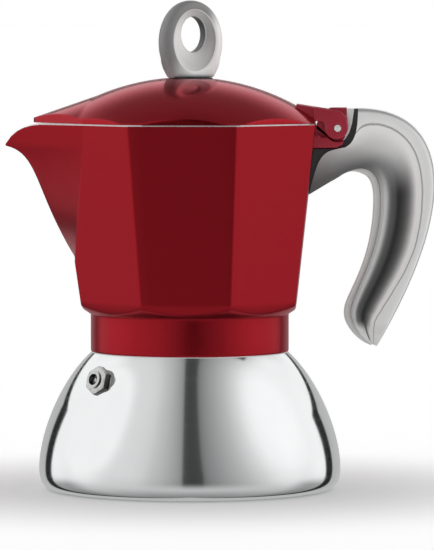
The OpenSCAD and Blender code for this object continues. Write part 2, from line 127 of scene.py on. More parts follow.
class Piece:
    """Vertices and faces of one mesh, gathered part by part."""

    def __init__(self):
        self.points = []
        self.faces = []
        self.slots = []
        self.painted_shades = []

    def rings(self, rings, slot=0, flip=False, caps=False):
        """A skin over closed rings of points. Slot is one material's number, or one for each ring."""
        base, n = len(self.points), len(rings[0])
        slots = slot if isinstance(slot, list) else [slot] * len(rings)
        for ring in rings:
            self.points.extend(ring)
        for r in range(len(rings) - 1):
            for k in range(n):
                a, b = base + r * n + k, base + r * n + (k + 1) % n
                face = (a, b, b + n, a + n)
                self.faces.append(face[::-1] if flip else face)
                self.slots.append(slots[r])
        if caps:
            first = list(range(base, base + n))
            last = list(range(base + (len(rings) - 1) * n, base + len(rings) * n))
            self.faces.append(tuple(first if flip else first[::-1]))
            self.faces.append(tuple(last[::-1] if flip else last))
            self.slots += [slots[0]] * 2

    def prism(self, outline, low, high):
        """An outline in the XZ plane, given a thickness along Y from low to high."""
        area = sum(a[0] * b[1] - b[0] * a[1] for a, b in zip(outline, outline[1:] + outline[:1]))
        ring = outline if area > 0 else outline[::-1]
        self.rings([[(x, y, z) for x, z in ring] for y in (low, high)], flip=True, caps=True)

    def zip_cap(self, base, count):
        """Closes a ring of count points whose second half mirrors its first, across from side to side."""
        for i in range(count // 2):
            face = []
            for v in (base + i, base + i + 1, base + (count - i - 1) % count, base + (count - i) % count):
                if v not in face:
                    face.append(v)
            if len(face) > 2:
                self.faces.append(tuple(face))
                self.slots.append(0)


def finish_mesh(name, piece, looks, angle=35):
    """An object with the piece's mesh, smooth except at edges sharper than the angle."""
    mesh = bpy.data.meshes.new(name)
    mesh.from_pydata([tuple(c * MM for c in p) for p in piece.points], [], piece.faces)
    if piece.painted_shades:
        mesh.attributes.new("shade", "FLOAT", "POINT").data.foreach_set("value", piece.painted_shades)
    for look in looks:
        mesh.materials.append(look.material)
    mesh.polygons.foreach_set("material_index", piece.slots)
    obj = bpy.data.objects.new(name, mesh)
    bpy.context.scene.collection.objects.link(obj)
    tidy(mesh)
    mesh.polygons.foreach_set("use_smooth", [True] * len(mesh.polygons))
    sharpen(obj, angle)
    return obj


def sharpen(obj, angle=35):
    obj.data.set_sharp_from_angle(angle=math.radians(angle))


def tidy(mesh):
    """Merges double points, drops empty faces, and turns every face outwards."""
    bm = bmesh.new()
    bm.from_mesh(mesh)
    bmesh.ops.remove_doubles(bm, verts=bm.verts, dist=0.0005 * MM)
    bmesh.ops.dissolve_degenerate(bm, dist=1e-7, edges=bm.edges)
    bmesh.ops.recalc_face_normals(bm, faces=bm.faces)
    if bm.calc_volume(signed=True) < 0:
        bmesh.ops.reverse_faces(bm, faces=bm.faces)
    bm.to_mesh(mesh)
    bm.free()


def apply_modifiers(obj):
    """The object's mesh becomes what its modifiers make of it."""
    depsgraph = bpy.context.evaluated_depsgraph_get()
    made = bpy.data.meshes.new_from_object(obj.evaluated_get(depsgraph))
    obj.modifiers.clear()
    obj.data = made


def add_bevel(obj, width, segments=2, angle=40):
    bevel = obj.modifiers.new("round", "BEVEL")
    bevel.width = width * MM
    bevel.segments = segments
    bevel.limit_method = "ANGLE"
    bevel.angle_limit = math.radians(angle)
    bevel.miter_outer = "MITER_ARC"


def rounded(obj, width):
    """Rounds the object's edges for good."""
    add_bevel(obj, width, 3)
    apply_modifiers(obj)
    sharpen(obj)


def cut(obj, cutter):
    """Takes cutter, a Piece, away from obj."""
    tool = finish_mesh("cutter", cutter, [])
    boolean = obj.modifiers.new("cut", "BOOLEAN")
    boolean.operation = "DIFFERENCE"
    boolean.solver = "EXACT"
    boolean.object = tool
    apply_modifiers(obj)
    bpy.data.objects.remove(tool)


def rod_y(x, z, r, low, high, segments=48):
    """A round bar along Y."""
    piece = Piece()
    piece.prism(arc(x, z, r, 0, 360, segments)[:-1], low, high)
    return piece


def mirrored_ring(points):
    """A half ring from y = 0 to y = 0 on the -Y side, closed over its mirror image."""
    return points + [(x, -y, z) for x, y, z in points[::-1][1:-1]]


def place(obj, body, slot, *nodes):
    """The object rides a body and stands for these CAD nodes. Slot is not used."""
    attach(obj, body)
    if nodes:
        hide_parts(*nodes)


# ---- Materials ----

def map_range(tree, value, near, far, first, last, easing="SMOOTHSTEP"):
    """Maps the range near to far onto first to last, and stays there beyond it."""
    node = tree.nodes.new("ShaderNodeMapRange")
    node.interpolation_type = easing
    for key, number in (("From Min", near), ("From Max", far), ("To Min", first), ("To Max", last)):
        node.inputs[key].default_value = number
    tree.links.new(value, node.inputs["Value"])
    return node.outputs["Result"]


class Surface:
    """A Principled material with object-space texture nodes added to it."""

    def __init__(self, name, colour, metallic, roughness):
        self.material = bpy.data.materials.new(name)
        self.material.use_nodes = True
        self.tree = self.material.node_tree
        self.shader = self.tree.nodes["Principled BSDF"]
        self.set(Base_Color=(*colour, 1), Metallic=metallic, Roughness=roughness)
        self.coords = self.tree.nodes.new("ShaderNodeTexCoord")
        self.normal = None

    def set(self, **values):
        for key, value in values.items():
            self.shader.inputs[key.replace("_", " ")].default_value = value

    def noise(self, scale, stretch=(1, 1, 1), detail=3):
        mapping = self.tree.nodes.new("ShaderNodeMapping")
        mapping.inputs["Scale"].default_value = stretch
        self.tree.links.new(self.coords.outputs["Object"], mapping.inputs["Vector"])
        node = self.tree.nodes.new("ShaderNodeTexNoise")
        node.inputs["Scale"].default_value = scale
        node.inputs["Detail"].default_value = detail
        self.tree.links.new(mapping.outputs[0], node.inputs["Vector"])
        return node.outputs["Fac"]

    def spread(self, value, low, high):
        """Spreads the middle of a noise, where nearly all of it lies, from low to high."""
        return map_range(self.tree, value, 0.3, 0.7, low, high, "LINEAR")

    def rough(self, value, low, high):
        self.tree.links.new(self.spread(value, low, high), self.shader.inputs["Roughness"])

    def tint(self, value, first, second):
        node = self.tree.nodes.new("ShaderNodeMix")
        node.data_type = "RGBA"
        node.inputs[6].default_value = (*first, 1)
        node.inputs[7].default_value = (*second, 1)
        self.tree.links.new(self.spread(value, 0, 1), node.inputs[0])
        self.tree.links.new(node.outputs[2], self.shader.inputs["Base Color"])

    def multiply(self, value):
        """Multiplies the colour that tint() has set."""
        node = self.tree.nodes.new("ShaderNodeMix")
        node.data_type = "RGBA"
        node.blend_type = "MULTIPLY"
        node.inputs[0].default_value = 1
        self.tree.links.new(self.shader.inputs["Base Color"].links[0].from_socket, node.inputs[6])
        self.tree.links.new(value, node.inputs[7])
        self.tree.links.new(node.outputs[2], self.shader.inputs["Base Color"])

    def shaded(self):
        """Multiplies the colour by the mesh's painted shade, which darkens its hollows and the sides turned
        from the light.
        """
        shade = self.tree.nodes.new("ShaderNodeAttribute")
        shade.attribute_name = "shade"
        self.multiply(shade.outputs["Fac"])

    def paint_facing_shade(self, direction, near, far, first, last):
        """Paints shade into the colour: multiplies it by a level that depends on which way the surface
        faces.
        """
        dot = self.tree.nodes.new("ShaderNodeVectorMath")
        dot.operation = "DOT_PRODUCT"
        dot.inputs[1].default_value = direction
        self.tree.links.new(self.coords.outputs["Normal"], dot.inputs[0])
        self.multiply(map_range(self.tree, dot.outputs["Value"], near, far, first, last))

    def painted_glow(self, near, far, low, high):
        """Painted light: an emission that rises with the distance from the object's origin, in metres."""
        distance = self.tree.nodes.new("ShaderNodeVectorMath")
        distance.operation = "LENGTH"
        self.tree.links.new(self.coords.outputs["Object"], distance.inputs[0])
        level = map_range(self.tree, distance.outputs["Value"], near, far, low, high)
        self.tree.links.new(level, self.shader.inputs["Emission Strength"])

    def bump(self, value, strength, distance):
        node = self.tree.nodes.new("ShaderNodeBump")
        node.inputs["Strength"].default_value = strength
        node.inputs["Distance"].default_value = distance * MM
        self.tree.links.new(value, node.inputs["Height"])
        if self.normal is not None:
            self.tree.links.new(self.normal, node.inputs["Normal"])
        self.normal = node.outputs["Normal"]
        self.tree.links.new(self.normal, self.shader.inputs["Normal"])


def enamel_surface(name, low, high):
    """Red metallic enamel whose roughness goes from low to high."""
    look = Surface(name, (0.385, 0.012, 0.021), 0.94, 0.27)
    look.set(Specular_Tint=(1, 0.7, 0.74, 1))
    look.rough(look.noise(420, detail=5), low, high)
    look.tint(look.noise(2600), (0.365, 0.011, 0.0195), (0.405, 0.0135, 0.0225))
    look.bump(look.noise(260), 0.03, 0.02)
    return look


steel = Surface("polished bell steel", (0.86, 0.875, 0.88), 1, 0.09)
steel.rough(steel.noise(900, (0.02, 0.02, 1), 4), 0.075, 0.12)
steel.bump(steel.noise(1400, (0.03, 0.03, 1)), 0.06, 0.01)
steel.tint(steel.noise(60, (1, 1, 0.3), 4), (0.84, 0.855, 0.86), (0.88, 0.895, 0.90))

turned = Surface("turned steel", (0.62, 0.62, 0.61), 1, 0.2)
turned.rough(turned.noise(1800, detail=4), 0.14, 0.26)
turned.bump(turned.noise(2600, detail=2), 0.12, 0.02)

valve_steel = Surface("plated valve steel", (0.5, 0.5, 0.49), 1, 0.12)
valve_steel.rough(valve_steel.noise(1800, detail=4), 0.08, 0.17)
valve_steel.tint(valve_steel.noise(900), (0.5, 0.5, 0.49), (0.62, 0.62, 0.61))
# painted shade: the valve's faces towards the right, the front and below are darker
valve_steel.paint_facing_shade((0.70, -0.68, -0.2), 0.1, 0.75, 1, 0.1)
valve_steel.bump(valve_steel.noise(2600, detail=2), 0.1, 0.02)

bright = Surface("bright pin steel", (0.95, 0.93, 0.90), 0.3, 0.35)
bright.rough(bright.noise(2500), 0.24, 0.36)
bright.bump(bright.noise(3000), 0.1, 0.01)

enamel = enamel_surface("red metallic enamel", 0.285, 0.345)
enamel.set(Coat_Weight=0.04, Coat_Roughness=0.1)

lid_enamel = enamel_surface("glossy red enamel", 0.15, 0.19)
lid_enamel.set(Coat_Weight=0.08, Coat_Roughness=0.05)

# painted light: a lighter, less metallic copy of the red enamel, so the hinge's parts read lighter
lit_enamel = Surface("lighter red enamel", (0.46, 0.03, 0.055), 0.35, 0.36)
lit_enamel.rough(lit_enamel.noise(420, detail=5), 0.32, 0.4)
lit_enamel.tint(lit_enamel.noise(2600), (0.44, 0.028, 0.052), (0.48, 0.032, 0.058))
lit_enamel.bump(lit_enamel.noise(260), 0.05, 0.02)

rim_metal = Surface("bare ground rim", (0.86, 0.80, 0.80), 1, 0.28)
rim_metal.rough(rim_metal.noise(1500, (1, 1, 0.2), 4), 0.2, 0.36)
rim_metal.bump(rim_metal.noise(2400), 0.1, 0.01)

cast = Surface("cast aluminium", (0.60, 0.60, 0.59), 1, 0.42)
cast.rough(cast.noise(500, detail=5), 0.34, 0.52)
cast.tint(cast.noise(140, detail=4), (0.52, 0.52, 0.51), (0.66, 0.66, 0.65))
cast.bump(cast.noise(900, detail=4), 0.25, 0.05)

sheet = Surface("spun aluminium sheet", (0.70, 0.70, 0.70), 1, 0.3)
sheet.rough(sheet.noise(1200, (0.05, 0.05, 1), 4), 0.24, 0.38)
sheet.bump(sheet.noise(1500, (0.05, 0.05, 1)), 0.15, 0.02)

silver = Surface("satin silver coat", (0.48, 0.48, 0.475), 0.95, 0.26)
silver.rough(silver.noise(700, detail=4), 0.22, 0.31)
silver.tint(silver.noise(2600), (0.46, 0.46, 0.45), (0.51, 0.51, 0.50))
silver.bump(silver.noise(1800), 0.05, 0.02)

grip = Surface("satin silver grip", (0.9, 0.9, 0.895), 0.2, 0.4)
grip.rough(grip.noise(700, detail=4), 0.36, 0.46)
grip.tint(grip.noise(2600), (0.88, 0.88, 0.875), (0.93, 0.93, 0.925))
# the grip's colour is multiplied by the mesh's painted shade
grip.shaded()
grip.bump(grip.noise(1800), 0.05, 0.02)

# dark plastic for the real dark parts, and painted shadow in the valve's bore and the handle's mouth
dark = Surface("dark plastic and painted shadow", (0.035, 0.037, 0.037), 0, 0.5)
dark.rough(dark.noise(800, detail=4), 0.42, 0.6)
dark.bump(dark.noise(1500, detail=4), 0.3, 0.04)

rubber = Surface("pale silicone", (0.80, 0.80, 0.76), 0, 0.55)
rubber.rough(rubber.noise(500), 0.5, 0.65)
rubber.bump(rubber.noise(1200), 0.2, 0.03)

floor_paint = Surface("pale floor", (0.88, 0.88, 0.88), 0, 0.7)
floor_paint.set(Emission_Color=(1, 1, 1, 1))
# painted shadow: the floor glows less near the pot's foot, so it is darker there
floor_paint.painted_glow(0.05, 0.18, 0.12, 0.44)
floor_paint.rough(floor_paint.noise(30), 0.62, 0.75)


# ---- CAD nodes ----

CAD_LOOKS = {
    "boiler_base": steel, "boiler_shell": steel,
    "boiler_core": cast, "boiler_tank": cast, "boiler_neck": cast,
    # the valve's retainer takes the dark colour as painted shade inside the valve's bore
    "valve_body": valve_steel, "valve_washer": turned, "valve_nut": turned, "valve_retainer": dark,
    "valve_spring": turned, "valve_piston": turned, "valve_seal": rubber,
    "funnel": sheet, "funnel_sieve": sheet, "gasket": rubber, "filter_plate": sheet,
    "collector": enamel, "hinge_pin": bright,
    "handle_shell": silver, "handle_liner": dark, "handle_cover": silver, "handle_screw": turned,
    "lid": lid_enamel, "lid_knob": silver, "knob_washer": dark, "knob_screw": turned,
}
ROUNDED_NODES = {"valve_body", "valve_washer", "handle_liner", "hinge_pin", "handle_screw", "knob_screw"}
# what would show as odd shapes in the bell, because the collector round it isn't mirrored
UNMIRRORED_NODES = {
    "boiler_neck", "gasket", "filter_plate", "funnel", "funnel_sieve", "valve_body", "valve_washer",
}


def dress_cad_nodes():
    for node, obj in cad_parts.items():
        look = CAD_LOOKS[node]
        if obj.data.materials:
            for k in range(len(obj.data.materials)):
                obj.data.materials[k] = look.material
        else:
            obj.data.materials.append(look.material)
        weld = obj.modifiers.new("weld", "WELD")
        weld.merge_threshold = 1e-6
        if node in ROUNDED_NODES:
            add_bevel(obj, 0.12, 2, 35)
        obj.data.polygons.foreach_set("use_smooth", [True] * len(obj.data.polygons))
        sharpen(obj, 30)
        obj.visible_glossy = node not in UNMIRRORED_NODES


dress_cad_nodes()


# ---- Boiler bell ----

def build_bell():
    low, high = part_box("boiler_shell")
    r = (high.x - low.x) / 2 / MM
    top = high.z / MM
    outside = joined(
        cubic([(50, 0.2), (54.5, 0.2), (r, 3.3), (r, 8)], 20),
        cubic([(r, 8), (r, 21.3), (47.5, 41), (36.5, top)], 64),
    )
    lip = [(36.0, top), (33.6, top), (33.4, top - 0.2), (33.4, top - 1)]
    inside = joined(
        cubic([(r - 0.9, 8), (r - 0.9, 21.3), (46.8, 40.5), (36.0, top - 0.75)], 32)[::-1],
        cubic([(50, 2.4), (53.6, 2.4), (r - 0.9, 4.6), (r - 0.9, 8)], 12)[::-1],
    )
    profile = outside + lip + inside
    segments = 200
    turns = [2 * math.pi * k / segments for k in range(segments)]
    piece = Piece()
    piece.rings([[(q * math.cos(a), q * math.sin(a), z) for a in turns] for q, z in profile + profile[:1]])
    bell = finish_mesh("bell_skin", piece, [steel], 40)
    place(bell, "boiler", "polished_steel", "boiler_shell")


# ---- Valve spring ----

def build_spring():
    low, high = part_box("valve_spring")
    centre = (low + high) / 2 / MM
    turn, tilt = math.radians(43.5), math.radians(15)
    out = Vector((-math.cos(tilt) * math.sin(turn), -math.cos(tilt) * math.cos(turn), math.sin(tilt)))
    right = Vector((math.cos(turn), -math.sin(turn), 0))
    top = out.cross(right)
    wire, coil, turns, rise, travel = 0.28, 1.45, 6, 6.74, 1.5
    steps = 30 * turns
    round_wire = [2 * math.pi * k / 12 for k in range(12)]
    rings = []
    for i in range(steps + 1):
        a = 2 * math.pi * turns * i / steps
        way = right * math.cos(a) + top * math.sin(a)
        middle = centre + way * coil + out * rise * (i / steps - 0.5)
        rings.append([tuple(middle + (way * math.cos(b) + out * math.sin(b)) * wire) for b in round_wire])
    piece = Piece()
    piece.rings(rings, caps=True)
    spring = finish_mesh("spring_coil", piece, [turned], 50)
    place(spring, "boiler", "spring_steel", "valve_spring")
    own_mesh(spring)


# ---- Sections with rounded corners, shared by the collector and the lid ----

CORNER_STEPS = 4


def rounded_section(corners, radii, side_steps=10):
    """Points round a polygon, with the same number on each corner and each side."""
    n = len(corners)
    starts, ends = [], []
    for i, v in enumerate(corners):
        for q, out in ((corners[i - 1], starts), (corners[(i + 1) % n], ends)):
            length = math.dist(v, q)
            out.append(lerp(v, q, min(0.45, radii[i] / length) if length else 0))
    ring = []
    for i, v in enumerate(corners):
        a, b = starts[i], ends[i]
        for k in range(CORNER_STEPS + 1):
            u = k / CORNER_STEPS
            ring.append(tuple((1 - u) ** 2 * a[j] + 2 * u * (1 - u) * v[j] + u * u * b[j] for j in range(2)))
        following = starts[(i + 1) % n]
        for k in range(1, side_steps):
            ring.append(lerp(b, following, k / side_steps))
    return ring


def octagon(distance, centre):
    """The corners of an octagon whose sides are this far from (centre, 0)."""
    return arc(centre, 0, distance / math.cos(math.radians(22.5)), 22.5, 337.5, 7)


# ---- Collector ----

BODY_LOW, BODY_TALL = 70, 65.6
SPOUT_LOW = 85
WALL_THICK = 2.4
RIM_LINE = 0.16
# the spout's front edge, and the rim where it dips towards the lip
PROW = cubic([(-41.9, SPOUT_LOW), (-57.9, 109.2), (-55.8, 124.5), (-68.6, 127.2)], 60)
RIM_DIP = cubic([(-53, 135.6), (-62, 135.6), (-66.3, 131.8), (-68.7, 127.3)], 40)[::-1]


def shift(z):
    """The X of the body's centre at height z."""
    return -1.1 * (z - BODY_LOW) / BODY_TALL


def facet(z):
    """The distance from that centre to a facet."""
    return 39.6 + 8.2 * (z - BODY_LOW) / BODY_TALL


def prow_x(z):
    """The X of the spout's front edge, which runs straight on above its curve."""
    return graph([(b, a) for a, b in PROW], z) - 0.43 * max(0.0, z - PROW[-1][1])


def rim_height(x):
    """The height of the rim, which falls straight on beyond its dip."""
    return graph(RIM_DIP, x) - 2 * max(0.0, RIM_DIP[0][0] - x)


def collector_section(z, d):
    """The collector's outline at height z, moved in by d."""
    f, s = facet(z) - d, shift(z)
    eight = octagon(f, s)
    y = math.tan(math.radians(22.5)) * facet(SPOUT_LOW) + 0.284 * (z - SPOUT_LOW) - 1.2 * d
    x = s - math.sqrt(2) * f + y
    if z > SPOUT_LOW and x > s - f:
        left = [(x, y), (min(prow_x(z) + 1.4 * d, x - 0.02), 0), (x, -y)]
        nose = 0.5 + 0.6 * smooth(86, 96, z)
    else:
        left = [eight[3], (s - f, 0), eight[4]]
        nose = 0.5
    return rounded_section(eight[:3] + left + eight[5:], [0.5] * 4 + [nose] + [0.5] * 4)


class Wall:
    """The collector's wall, moved in by d, as columns that can be read at any height."""

    def __init__(self, d):
        self.low, self.step = 64.0, 0.25
        self.levels = [collector_section(self.low + self.step * i, d) for i in range(300)]

    def at(self, k, z):
        i = min(len(self.levels) - 2, max(0, int((z - self.low) / self.step)))
        u = (z - self.low) / self.step - i
        x, y = lerp(self.levels[i][k], self.levels[i + 1][k], u)
        return (x, y, z)

    def top(self, k):
        """The height at which column k meets the rim."""
        return solve(lambda z: z - rim_height(self.at(k, z)[0]), 120, 137)


def around(points, r, z):
    """Each point moved to radius r from the axis and to height z."""
    return [(p[0] * r / math.hypot(p[0], p[1]), p[1] * r / math.hypot(p[0], p[1]), z) for p in points]


def build_collector():
    outer, inner = Wall(0), Wall(WALL_THICK)
    columns = range(len(outer.levels[0]))
    red, ground, bare = range(3)
    rings, slots = [], []

    def add(ring, slot):
        rings.append(ring)
        slots.append(slot)

    def cone_r(z):
        """The radius of the cone that carries the facets' lower edges."""
        return 36.5 + (z - 65) * 23.3 / 15

    start = [solve(lambda z: cone_r(z) - math.hypot(*outer.at(k, z)[:2]), 65, 72) for k in columns]
    foot = [outer.at(k, start[k]) for k in columns]

    underside = [
        (3.8, 115.5), (3.8, 69.0), (4.2, 68.5), (7.2, 68.5), (7.5, 68.8), (7.5, 70.0), (18.0, 70.0),
        (24.5, 65.5), (32.3, 65.5), (32.3, 62.0), (33.15, 62.0), (33.15, 51.6), (33.5, 51.2),
    ]
    collar = [
        (36.15, 51.2), (36.5, 51.3), (36.66, 51.6), (36.7, 52.0),
        (36.7, 57), (36.7, 62), (36.7, 64.7), (36.75, 65.05),
    ]
    for profile, slot in ((underside, bare), (collar, red)):
        for r, z in profile:
            add(around(foot, r, z), slot)
    for share in (0.08, 0.5):
        add([lerp(a, b, share) for a, b in zip(around(foot, 36.75, 65.15), foot)], red)

    def eased(x, y, z):
        """A point of the foot moved in and down, which rounds the facets' lower edge."""
        keep = 1 - 0.35 / math.hypot(x, y)
        return (x * keep, y * keep, z - 0.22)

    add([eased(*p) for p in foot], red)
    add([outer.at(k, start[k] + 0.4) for k in columns], red)

    # outside, up to a fixed height and then in even steps to the rim
    last = 123
    for z in [70.6, 74, 78, 82, 84.6, 85.1, 85.8] + [87 + 1.5 * i for i in range(25)]:
        add([outer.at(k, z) for k in columns], red)
    high_out = [outer.top(k) for k in columns]
    high_in = [inner.top(k) for k in columns]
    for i in range(1, 12):
        add([outer.at(k, last + (high_out[k] - RIM_LINE - last) * i / 12) for k in columns], red)

    # ground rim
    add([outer.at(k, high_out[k] - RIM_LINE) for k in columns], ground)
    edge_out = [outer.at(k, high_out[k]) for k in columns]
    edge_in = [inner.at(k, high_in[k]) for k in columns]
    for share, drop in ((0.03, 0.09), (0.13, 0.0), (0.5, 0.0), (0.87, 0.0), (0.97, 0.09)):
        across = [lerp(a, b, share) for a, b in zip(edge_out, edge_in)]
        add([(x, y, z - drop) for x, y, z in across], ground)

    # inside, down to the floor and up the column in the middle
    for i in range(12, 0, -1):
        add([inner.at(k, 121 + (high_in[k] - 0.3 - 121) * i / 12) for k in columns], bare)
    for i in range(24, -1, -1):
        add([inner.at(k, 78 + 43 * i / 24) for k in columns], bare)
    add([inner.at(k, 76) for k in columns], bare)
    corner = [inner.at(k, 75) for k in columns]
    for shrink, z in ((0.992, 74.9), (0.975, 74.25), (0.95, 74.0)):
        add([(p[0] * shrink, p[1] * shrink, z) for p in corner], bare)
    floor_ring = rings[-1]
    for share in (0.3, 0.6, 0.85, 0.97):
        add([lerp(p, q, share) for p, q in zip(floor_ring, around(floor_ring, 10.4, 74.0))], bare)
    column = [
        (9.9, 74.15), (9.5, 74.6), (9.3, 76), (8.3, 90), (7.2, 104),
        (6.25, 117.6), (6.0, 118.1), (2.8, 120.1), (2.2, 120.4),
    ]
    for r, z in column:
        add(around(floor_ring, r, z), bare)

    piece = Piece()
    piece.rings(rings, slots, caps=True)
    body = finish_mesh("collector_body", piece, [enamel, rim_metal, cast], 42)
    cut(body, rod_y(0, 115, 2.1, -9, 9, 32))
    sharpen(body, 42)
    calm_spout(body.data)
    body.visible_glossy = False
    place(body, "collector", "red_enamel", "collector")


def calm_spout(mesh):
    """The spout's sides shade as plain sheets that lean out a little, whatever the lip's flare does."""
    normals = [Vector(corner.vector) for corner in mesh.corner_normals]
    for face in mesh.polygons:
        x, z = face.center.x / MM, face.center.z / MM
        if face.material_index or z < SPOUT_LOW or x > -41.8 + (z - 90) * 0.09:
            continue
        for corner in face.loop_indices:
            level = Vector((normals[corner].x, normals[corner].y, 0)).normalized()
            calm = (level - Vector((0, 0, 0.2))).normalized()
            share = 0.85 * smooth(SPOUT_LOW, 92, z)
            normals[corner] = (normals[corner] * (1 - share) + calm * share).normalized()
    mesh.normals_split_custom_set([tuple(n) for n in normals])


def build_thread():
    """The thread inside the collar, a ridge that fades out at both ends."""
    turns, pitch, low, root = 2.5, 3.0, 53.8, 33.3
    steps = int(turns * 60)
    ridge = []
    for i in range(steps + 1):
        fade = max(0.02, min(1, i / 6, (steps - i) / 6))
        a, z = 2 * math.pi * turns * i / steps, low + turns * pitch * i / steps
        crest = 33.15 - 0.9 * fade
        profile = ((root, -0.75), (crest, -0.35), (crest, 0.35), (root, 0.75))
        ridge.append([(r * math.cos(a), r * math.sin(a), z + dz) for r, dz in profile])
    piece = Piece()
    piece.rings(ridge, caps=True)
    thread = finish_mesh("collar_thread", piece, [cast], 50)
    thread.visible_glossy = False
    place(thread, "collector", "cast_aluminium")


def pin_centre():
    low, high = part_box("hinge_pin")
    return (low.x + high.x) / 2 / MM, (low.z + high.z) / 2 / MM


def build_bracket():
    px, pz = pin_centre()
    piece = Piece()
    piece.prism(
        [(44.5, 126.8), (54.6, 126.9), (56.6, 128.0), (56.95, 129.0)]
        + arc(px, pz, 5.1, -66, -138, 12)
        + [(48.4, 130.6), (48.4, 131.5), (44.5, 131.5)],
        -9.5, 9.5,
    )
    piece.prism([(44.5, 118), (49.5, 118), (57, 122.2), (59.2, 124), (59.2, 127.2), (44.5, 127.2)], -4, 4)
    block = finish_mesh("hinge_block", piece, [lit_enamel])
    rounded(block, 0.3)
    place(block, "collector", "red_enamel")

    piece = Piece()
    piece.prism(
        [(44.5, 127.1), (55.6, 127.3), (57.3, 130.2), (58.1, 133.5), (58.1, 141.45), (52.6, 141.45)]
        + arc(px, pz, 7.9, 110, 188, 13)
        + [(47.6, 135.0), (44.5, 135.0)],
        -6, 6,
    )
    lug = finish_mesh("hinge_lug", piece, [lit_enamel])
    rounded(lug, 0.35)
    place(lug, "collector", "red_enamel")


# ---- Lid ----

LID_X = shift(135.6)
LID_LOW = 135.9
KNOB_X = 0.3
DOME_R = 84
DOME_TOP = 152.7
BEAK_FALL = math.radians(19.1)
BEAK_R = 70.0
CREASE = 0.05


def soft_max(a, b, width):
    """The greater of a and b, rounded off where they are closer than the width."""
    gap = abs(a - b)
    return max(a, b) + (max(0.0, width - gap) ** 2) / (4 * width)


def lid_height(x, y):
    """The height of the lid's outside, a dome with a beak that falls towards the lip."""
    dome = DOME_TOP - DOME_R + math.sqrt(DOME_R ** 2 - (x - LID_X) ** 2 - y * y)
    if x > -24:
        return dome
    crest = 150.8 - math.tan(BEAK_FALL) * (-20 - x)
    sag = (BEAK_R - math.sqrt(max(0, BEAK_R * BEAK_R - y * y))) / math.cos(BEAK_FALL)
    return soft_max(dome, crest - sag, CREASE)


def build_lid():
    eight = octagon(47.7, LID_X)
    outline = rounded_section(
        eight[:3] + [(-37.9, 30.6), (-58.7, 0), (-37.9, -30.6)] + eight[5:],
        [0.5] * 3 + [0.7, 3.0, 0.7] + [0.5] * 3, 26,
    )
    edge = []
    for x, y in outline:
        r = math.hypot(x - LID_X, y)
        keep = min(1, 50.15 / r) if x > -37 else 1
        edge.append((LID_X + (x - LID_X) * keep, y * keep))

    def inset(p, d):
        """The point p moved in by d, towards the lid's centre."""
        r = math.hypot(p[0] - LID_X, p[1])
        return (LID_X + (p[0] - LID_X) * (r - d) / r, p[1] * (r - d) / r)

    def circle(r):
        """The edge's points drawn in to a circle round the knob."""
        out = []
        for x, y in edge:
            reach = math.hypot(x - LID_X, y)
            out.append((KNOB_X + (x - LID_X) * r / reach, y * r / reach))
        return out

    def flat(ring, z):
        return [(x, y, z) for x, y in ring]

    def under(x, y):
        """The height of the lid's inside."""
        return max(LID_LOW + 0.05, lid_height(x, y) - 2.3)

    red, bare = range(2)
    rings, slots = [], []

    def add(ring, slot):
        rings.append(ring)
        slots.append(slot)

    # boss for the knob's screw, and the inside
    for r, z in ((2.15, 147.9), (2.4, 147.6), (5.7, 147.6), (6.0, 147.9)):
        add(flat(circle(r), z), bare)
    add([(x, y, under(x, y) - 0.3) for x, y in circle(6.05)], bare)
    inner = [inset(p, 2.6) for p in edge]
    for i in range(41):
        ring = [lerp(a, b, i / 40) for a, b in zip(circle(6.8), inner)]
        add([(x, y, under(x, y)) for x, y in ring], bare)

    # lower edge and skirt
    for d, z in ((2.4, LID_LOW), (0.2, LID_LOW), (0.02, LID_LOW + 0.12)):
        add(flat([inset(p, d) for p in edge], z), red)
    for share in (0.35, 0.7):
        add([
            (x, y, LID_LOW + 0.12 + max(0.02, lid_height(x, y) - 0.5 - LID_LOW) * share) for x, y in edge
        ], red)
    for d, drop in ((0.0, 0.38), (0.05, 0.2), (0.18, 0.06), (0.4, 0.0)):
        ring = [inset(p, d) for p in edge]
        add([(x, y, max(LID_LOW + 0.14, lid_height(x, y) - drop)) for x, y in ring], red)

    # outside, and the seat of the knob
    rows = 120
    outer_ring, inner_ring = [inset(p, 0.8) for p in edge], circle(9.45)
    for i in range(rows + 1):
        ring = [lerp(a, b, i / rows) for a, b in zip(outer_ring, inner_ring)]
        add([(x, y, lid_height(x, y)) for x, y in ring], red)
    add([(x, y, lid_height(x, y) - 0.08) for x, y in circle(9.25)], red)
    for r, z in ((9.15, 151.95), (8.9, 151.9), (2.4, 151.9)):
        add(flat(circle(r), z), red)
    add(flat(circle(2.15), 151.7), bare)
    add(rings[0], bare)

    piece = Piece()
    piece.rings(rings, slots)
    dome = finish_mesh("lid_dome", piece, [lid_enamel, cast], 40)
    dome.visible_glossy = False
    place(dome, "lid", "red_enamel", "lid")


def build_lid_hinge():
    px, pz = pin_centre()
    outline = joined(
        [(46.0, 141.78), (47.5, 141.5), (53.6, 140.6)],
        arc(53.8, 136.1, 4.5, 84, 10, 10),
        arc(54.3, 134.1, 4.2, 0, -170, 22),
        cubic([(50.1, 134.4), (50.1, 135.6), (49.6, 136.6), (48.2, 136.6)], 6),
        [(46.0, 136.6)],
    )
    for name, low, high in (("lid_cheek_a", -9.3, -6.3), ("lid_cheek_b", 6.3, 9.3)):
        piece = Piece()
        piece.prism(outline, low, high)
        cheek = finish_mesh(name, piece, [lit_enamel])
        cut(cheek, rod_y(px, pz, 1.31, -12, 12))
        rounded(cheek, 0.4)
        place(cheek, "lid", "red_enamel")
    piece = Piece()
    piece.prism(
        [(39.5, 142.8), (41.5, 142.5), (46.6, 141.65), (46.6, 136.9), (44.5, 136.7), (39.5, 139.2)],
        -8.7, 8.7,
    )
    root = finish_mesh("lid_hinge_root", piece, [lit_enamel])
    rounded(root, 0.3)
    place(root, "lid", "red_enamel")


# ---- Knob ----

EYE_Z = 168.4
KNOB_TURN = math.radians(38)


